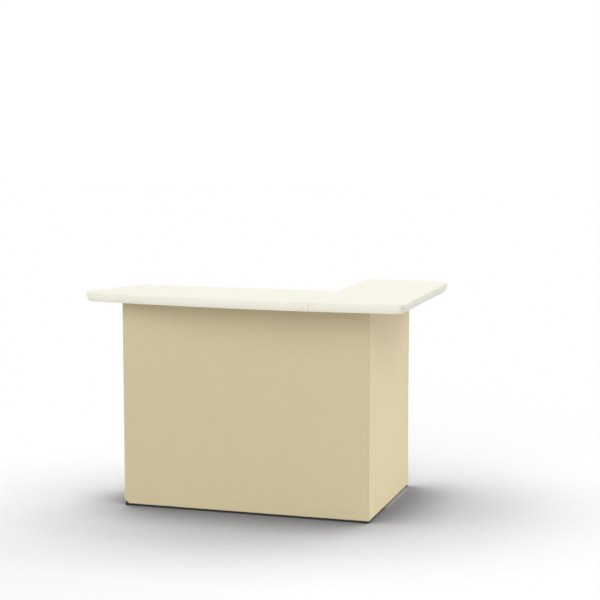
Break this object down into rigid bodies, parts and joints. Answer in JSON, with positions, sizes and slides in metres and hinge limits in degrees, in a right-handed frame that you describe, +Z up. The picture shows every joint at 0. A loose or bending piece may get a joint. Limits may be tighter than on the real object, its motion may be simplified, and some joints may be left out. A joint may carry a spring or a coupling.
{
  "type": "portable bar counter",
  "caption": "L-shaped portable bar counter: two-panel moulded top on a knock-down tube frame with a cloth skirt, a swing-in wing frame and a fold-up shelf behind.",
  "frame": {"origin": "on the floor under the middle of the whole counter", "axes": "+X to the right along the front, +Y from the front to the back, +Z up"},
  "size_m": [1.6191, 1.083, 1.067],
  "materials": {
    "top": "moulded, fine satin grain",
    "skirt": "plain polyester weave, taut",
    "frame_tube": "powder coat, satin",
    "frame_plate": "powder coat, satin",
    "knob": "moulded",
    "glide": "moulded",
    "hook_tape": "hook pile",
    "shelf_board": "laminate faced board",
    "bearer": "planed",
    "peg": "turned nylon",
    "zinc_hardware": "zinc plated"
  },
  "bodies": {
    "frame": {"post_front_left": "frame_tube", "post_front_right": "frame_tube", "post_rear_left": "frame_tube", "post_rear_right": "frame_tube", "rail_left_top": "frame_tube", "rail_left_shelf": "frame_tube", "rail_left_bottom": "frame_tube", "rail_right_top": "frame_tube", "rail_right_shelf": "frame_tube", "rail_right_bottom": "frame_tube", "rail_front_top": "frame_tube", "rail_rear_top": "frame_tube", "rail_front_bottom": "frame_tube", "rail_rear_bottom": "frame_tube", "shelf_rail": "frame_tube", "rail_tabs": "frame_plate", "rail_knobs": "knob", "frame_glides": "glide", "seam_bearer": "bearer", "bearer_plates": "frame_plate", "bearer_screws": "zinc_hardware", "lower_shelf_board": "shelf_board", "lower_shelf_screws": "zinc_hardware", "shelf_hinge_rail_leaves": "zinc_hardware", "shelf_hinge_pins": "zinc_hardware", "shelf_hinge_rail_screws": "zinc_hardware", "wing_collars": "frame_plate", "wing_collar_screws": "zinc_hardware", "skirt_tapes": "hook_tape", "skirt_front": "skirt", "skirt_left": "skirt", "skirt_right": "skirt"},
    "wing_frame": {"wing_hinge_post": "frame_tube", "wing_far_post": "frame_tube", "wing_rail_top": "frame_tube", "wing_rail_middle": "frame_tube", "wing_rail_bottom": "frame_tube", "wing_glides": "glide", "wing_skirt_tapes": "hook_tape", "skirt_wing": "skirt"},
    "fold_shelf": {"fold_shelf_board": "shelf_board", "shelf_hinge_board_leaves": "zinc_hardware", "shelf_hinge_board_screws": "zinc_hardware"},
    "run_top": {"run_top_shell": "top", "run_top_pan": "top", "run_top_pegs": "peg"},
    "wing_top": {"wing_top_shell": "top", "wing_top_pan": "top", "wing_top_pegs": "peg"}
  },
  "joints": [
    {"name": "wing_frame_swing", "type": "hinge", "parent": "frame", "child": "wing_frame", "pos_m": [0.60109, -0.07094, 0], "axis": [0, 0, 1], "range_deg": [0, 90]},
    {"name": "shelf_fold", "type": "hinge", "parent": "frame", "child": "fold_shelf", "pos_m": [0.02259, -0.3585, 0.506], "axis": [1, 0, 0], "range_deg": [0, 90]},
    {"name": "run_top_lift", "type": "slide", "parent": "frame", "child": "run_top", "axis": [0, 0, 1], "range_m": [0, 0.15]},
    {"name": "wing_top_lift", "type": "slide", "parent": "frame", "child": "wing_top", "axis": [0, 0, 1], "range_m": [0, 0.15]}
  ]
}
